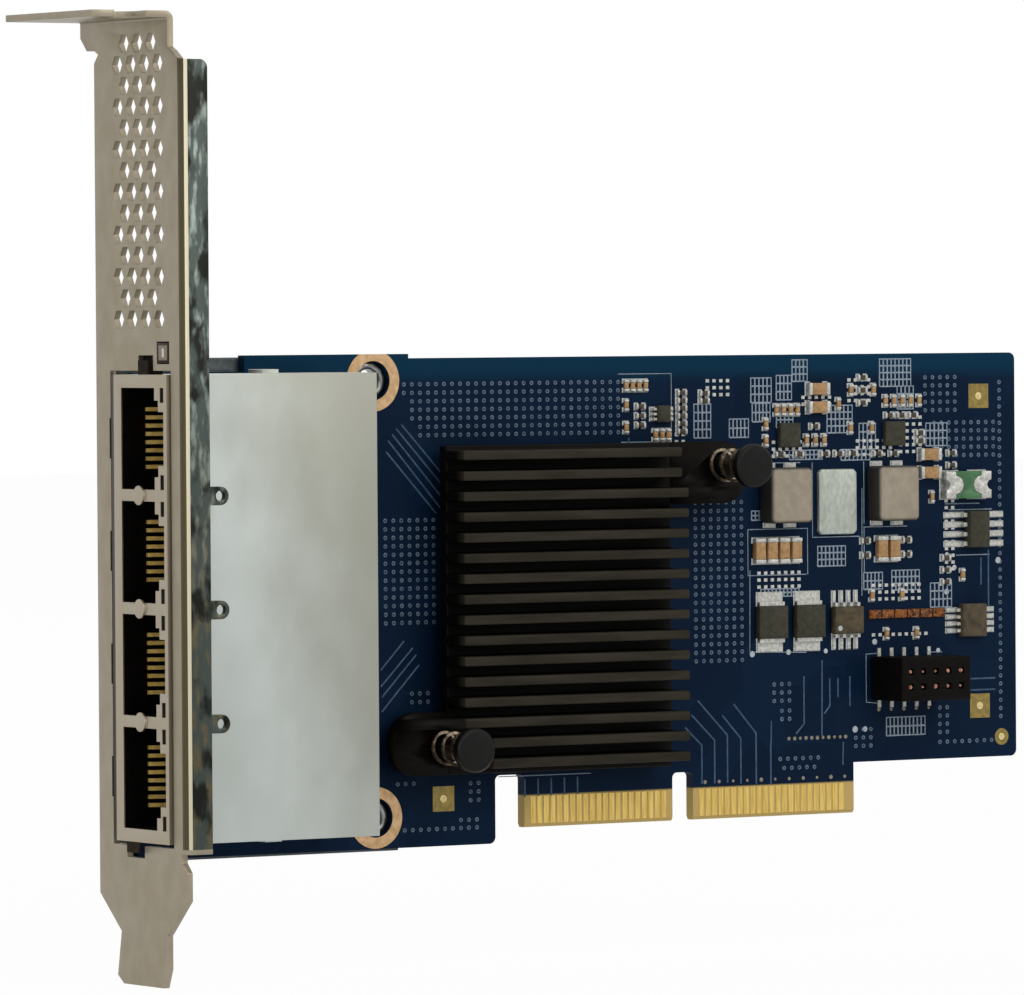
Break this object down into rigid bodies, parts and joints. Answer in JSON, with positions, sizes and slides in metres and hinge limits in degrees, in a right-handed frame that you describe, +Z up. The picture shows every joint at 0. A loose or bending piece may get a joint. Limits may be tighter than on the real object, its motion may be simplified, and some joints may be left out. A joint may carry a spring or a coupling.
{
  "type": "network interface card",
  "caption": "Upright network adapter card with a folded slotted bracket, ganged modular jacks, finned heat sink and gold card-edge contacts.",
  "frame": {"origin": "the key slot of the card edge, on the board's mid-plane, at the contacts' lower edge", "axes": "+X along the board away from the bracket, +Y from the component side to the solder side, +Z up out of the connector"},
  "size_m": [0.148, 0.0253, 0.12],
  "materials": {
    "solder_mask": "glossy dark blue solder mask over fibreglass",
    "gold": "gold plating",
    "copper": "bare gold-washed copper",
    "steel_sheet": "plated sheet steel, satin",
    "steel_bush": "turned plated steel",
    "jack_can": "bright tin-plated sheet",
    "black_plastic": "black moulded plastic",
    "clear_plastic": "milky clear plastic",
    "tin": "tinned metal, satin",
    "black_anodised": "black anodised",
    "package_black": "black moulding compound",
    "package_olive": "olive brown moulding compound",
    "pad_grey": "soft grey thermal pad",
    "spring_steel": "drawn spring wire",
    "ceramic_tan": "fired tan ceramic",
    "ceramic_dark": "dark resistive ceramic",
    "fuse_green": "green polymer",
    "coil_top": "pale moulded ferrite",
    "can_pale": "mottled dull tin"
  },
  "bodies": {
    "root": {"array_bodies": "ceramic_dark", "bracket_arms": "steel_sheet", "circuit_board": "solder_mask", "controller_package": "package_black", "copper_marks": "copper", "driver_body": "package_olive", "driver_leads": "tin", "edge_contacts_back": "gold", "edge_contacts_front": "gold", "fuse_body": "fuse_green", "fuse_terminals": "tin", "ground_fingers": "jack_can", "header_body": "black_plastic", "header_pins": "tin", "heat_sink": "black_anodised", "heat_sink_ears": "black_anodised", "inductor_left": "coil_top", "inductor_right": "coil_top", "inductor_terminals": "tin", "io_bracket": "steel_sheet", "jack_contacts": "gold", "jack_housing": "black_plastic", "jack_shield": "jack_can", "jack_solder_tails": "tin", "large_capacitor_bodies": "ceramic_tan", "large_capacitor_ends": "tin", "logic_body": "package_olive", "logic_leads": "tin", "memory_body": "package_olive", "memory_leads": "tin", "monitor_body": "package_olive", "monitor_leads": "tin", "mounting_bushes": "steel_bush", "mounting_lands": "copper", "pin_spring_lower": "spring_steel", "pin_spring_upper": "spring_steel", "port_lamp_lenses": "clear_plastic", "push_pin_lower": "black_plastic", "push_pin_upper": "black_plastic", "regulator_bodies": "package_olive", "resistor_bodies": "ceramic_dark", "resistor_ends": "tin", "shield_can": "can_pale", "small_capacitor_bodies": "ceramic_tan", "small_capacitor_ends": "tin", "status_light_pipe": "clear_plastic", "switch_bodies": "package_olive", "switch_leads": "tin", "thermal_pad": "pad_grey"}
  },
  "joints": []
}
